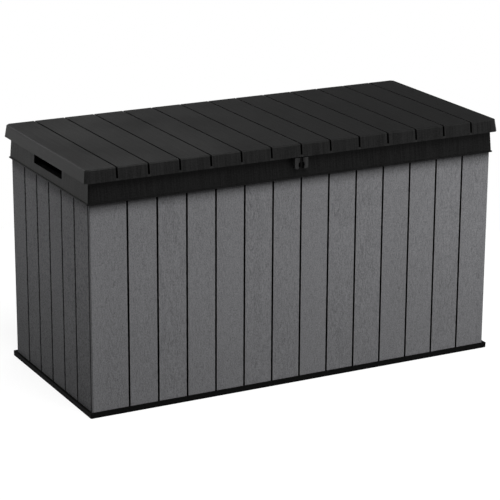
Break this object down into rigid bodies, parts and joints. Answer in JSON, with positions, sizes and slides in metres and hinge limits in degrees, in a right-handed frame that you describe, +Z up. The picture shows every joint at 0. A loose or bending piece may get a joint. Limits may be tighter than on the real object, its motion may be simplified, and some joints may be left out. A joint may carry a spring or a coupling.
{
  "type": "deck storage box",
  "caption": "Long resin deck storage box with board-effect walls, a black collar with hand grips, and a hinged board-effect lid held up by gas struts, with a padlock hasp.",
  "frame": {"origin": "on the ground under the middle of the box", "axes": "+X along the length to the right as seen from the front, +Y to the rear where the hinges are, +Z up"},
  "size_m": [1.45, 0.656, 0.782],
  "materials": {
    "grey_boards": "wood-grain moulded resin, matte grey",
    "lid_resin": "fine-grain moulded resin, satin black",
    "black_resin": "brushed-grain moulded resin, satin black",
    "hasp_resin": "smooth moulded resin, dark grey",
    "zinc_steel": "zinc-plated steel",
    "black_steel": "black powder coat",
    "bright_rod": "polished piston rod"
  },
  "bodies": {
    "box": {"base_tray": "black_resin", "hasp_block": "hasp_resin", "front_wall": "grey_boards", "rear_wall": "grey_boards", "left_wall": "grey_boards", "right_wall": "grey_boards", "front_rail": "black_resin", "rear_rail": "black_resin", "left_rail_front": "black_resin", "left_rail_rear": "black_resin", "left_grip_sill": "black_resin", "left_grip_bar": "black_resin", "right_rail_front": "black_resin", "right_rail_rear": "black_resin", "right_grip_sill": "black_resin", "right_grip_bar": "black_resin", "rail_hinge_1": "black_steel", "hinge_pin_1": "zinc_steel", "rail_hinge_2": "black_steel", "hinge_pin_2": "zinc_steel", "rail_hinge_3": "black_steel", "hinge_pin_3": "zinc_steel", "strut_wall_bracket_left": "zinc_steel", "strut_wall_bracket_right": "zinc_steel"},
    "lid": {"lid_panel": "lid_resin", "lid_tongue": "black_resin", "lid_bar_front": "zinc_steel", "lid_bar_rear": "zinc_steel", "lid_hinge_1": "black_steel", "lid_hinge_2": "black_steel", "lid_hinge_3": "black_steel", "strut_lid_bracket_left": "zinc_steel", "strut_lid_bracket_right": "zinc_steel"},
    "cylinder_left": {"strut_cylinder_left": "black_steel"},
    "rod_left": {"strut_rod_left": "bright_rod"},
    "cylinder_right": {"strut_cylinder_right": "black_steel"},
    "rod_right": {"strut_rod_right": "bright_rod"}
  },
  "joints": [
    {"name": "lid_swing", "type": "hinge", "parent": "box", "child": "lid", "pos_m": [0, 0.32, 0.733], "axis": [-1, 0, 0], "range_deg": [0, 75]},
    {"name": "strut_swing_left", "type": "hinge", "parent": "box", "child": "cylinder_left", "pos_m": [-0.668, 0.2473, 0.56834], "axis": [-1, 0, 0], "range_deg": [0, 37.5]},
    {"name": "strut_extend_left", "type": "slide", "parent": "cylinder_left", "child": "rod_left", "axis": [0, -0.5177, 0.8556], "range_m": [0, 0.13687]},
    {"name": "strut_swing_right", "type": "hinge", "parent": "box", "child": "cylinder_right", "pos_m": [0.668, 0.2473, 0.56834], "axis": [-1, 0, 0], "range_deg": [0, 37.5]},
    {"name": "strut_extend_right", "type": "slide", "parent": "cylinder_right", "child": "rod_right", "axis": [0, -0.5177, 0.8556], "range_m": [0, 0.13687]}
  ],
  "couplings": [
    {"joint": "strut_swing_left", "follows": "lid_swing", "ratio": 0.5},
    {"joint": "strut_extend_left", "follows": "lid_swing", "m_per_rad": 0.10455},
    {"joint": "strut_swing_right", "follows": "lid_swing", "ratio": 0.5},
    {"joint": "strut_extend_right", "follows": "lid_swing", "m_per_rad": 0.10455}
  ]
}
